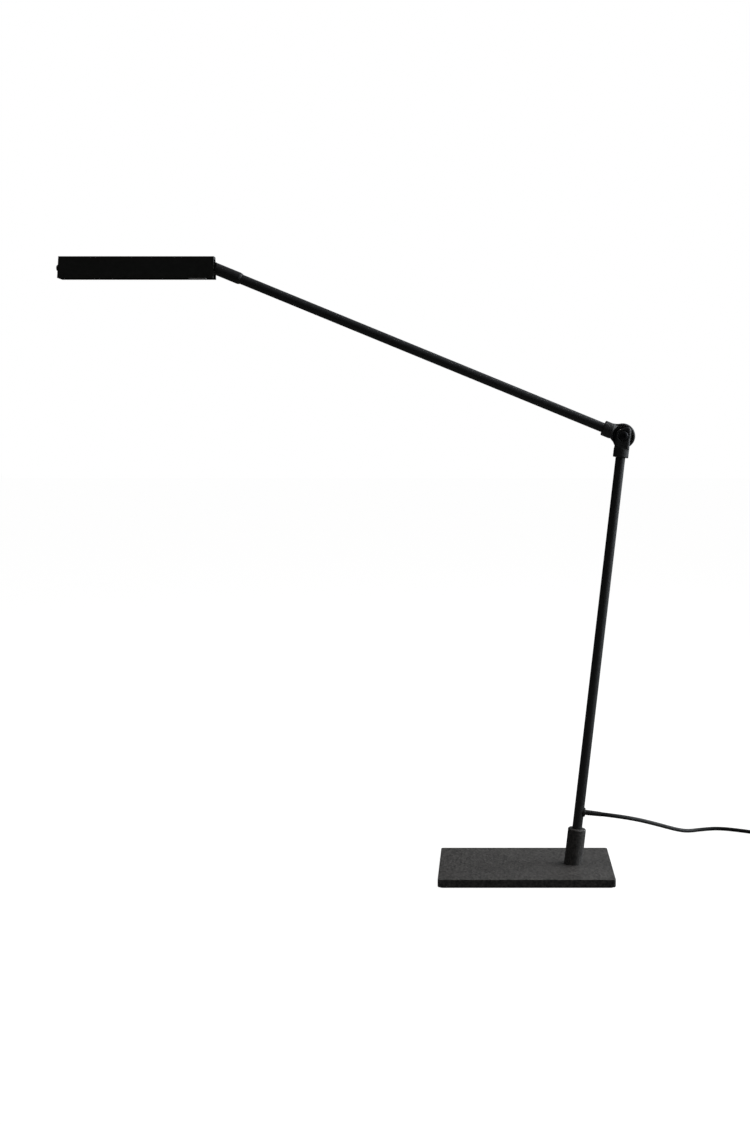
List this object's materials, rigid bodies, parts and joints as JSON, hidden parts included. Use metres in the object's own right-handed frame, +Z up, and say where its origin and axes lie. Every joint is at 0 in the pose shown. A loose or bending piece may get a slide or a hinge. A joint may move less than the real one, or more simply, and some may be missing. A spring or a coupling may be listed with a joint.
{
  "type": "two-arm desk lamp",
  "caption": "Slim bar-head desk lamp: leaning stem on a heavy flat base, tilting and swivelling elbow, long arm, turning and tilting head with an end push button, and a coiled mains cord.",
  "frame": {"origin": "centre of the base pad's underside, on the table", "axes": "+Z up; +X along the base's long side, away from the side the arm reaches over; +Y to the back"},
  "size_m": [0.9584, 0.2768, 0.7514],
  "materials": {
    "black_paint": "satin powder coat",
    "black_tube": "satin paint on drawn tube",
    "soft_pad": "matt",
    "screw_steel": "zinc plated",
    "dark_screw": "blackened",
    "cover_metal": "satin",
    "black_plastic": "fine grain",
    "cord_sheath": "matt",
    "pin_brass": "nickel plated",
    "opal": "opal, satin",
    "board_white": "white solder mask",
    "chip_yellow": "phosphor",
    "spreader_metal": "mill",
    "washer_plastic": "natural nylon",
    "white_plastic": "plain",
    "casting_black": "zinc die-casting, satin black"
  },
  "bodies": {
    "base": {"base_pad": "soft_pad", "base_plate": "black_paint", "collar": "black_paint", "collar_screws": "screw_steel", "stem_grub": "dark_screw", "stem_tube": "black_tube", "stem_lead": "cord_sheath", "cord_gland": "black_plastic", "cord": "cord_sheath", "cord_coil": "cord_sheath", "cord_tail": "cord_sheath", "plug_boot": "cord_sheath", "plug_body": "black_plastic", "plug_pins": "pin_brass"},
    "elbow": {"elbow_lower": "casting_black", "swivel_grub": "dark_screw", "pivot_bolt": "dark_screw", "friction_washer": "washer_plastic", "disc_springs": "screw_steel", "pivot_nut": "screw_steel"},
    "arm": {"elbow_upper": "casting_black", "arm_tube": "black_tube", "arm_lead": "cord_sheath"},
    "neck": {"neck": "casting_black", "neck_grub": "dark_screw"},
    "head": {"head_housing": "black_paint", "front_cap": "black_plastic", "rear_cap": "black_plastic", "diffuser": "opal", "service_cover": "cover_metal", "led_board": "board_white", "led_chips": "chip_yellow", "heat_spreader": "spreader_metal", "led_driver": "black_plastic", "terminal_block": "white_plastic", "tilt_bracket": "screw_steel", "bracket_screws": "screw_steel", "tilt_pin": "screw_steel", "tilt_washers": "washer_plastic", "switch_body": "black_plastic"},
    "button": {"power_button": "black_plastic"}
  },
  "joints": [
    {"name": "elbow_swivel", "type": "hinge", "parent": "base", "child": "elbow", "pos_m": [0.11926, 0, 0.53254], "axis": [0.1162, 0, 0.9932], "range_deg": [-165, 165]},
    {"name": "elbow_tilt", "type": "hinge", "parent": "elbow", "child": "arm", "pos_m": [0.11926, 0, 0.53254], "axis": [0, 1, 0], "range_deg": [-30, 74]},
    {"name": "neck_roll", "type": "hinge", "parent": "arm", "child": "neck", "pos_m": [-0.38491, 0, 0.73942], "axis": [-0.9251, 0, 0.3796], "range_deg": [-90, 90]},
    {"name": "head_tilt", "type": "hinge", "parent": "neck", "child": "head", "pos_m": [-0.38491, 0, 0.73942], "axis": [0, 1, 0], "range_deg": [-60, 30]},
    {"name": "button_press", "type": "slide", "parent": "head", "child": "button", "axis": [1, 0, 0], "range_m": [0, 0.002], "stiffness_N_per_m": 300}
  ]
}
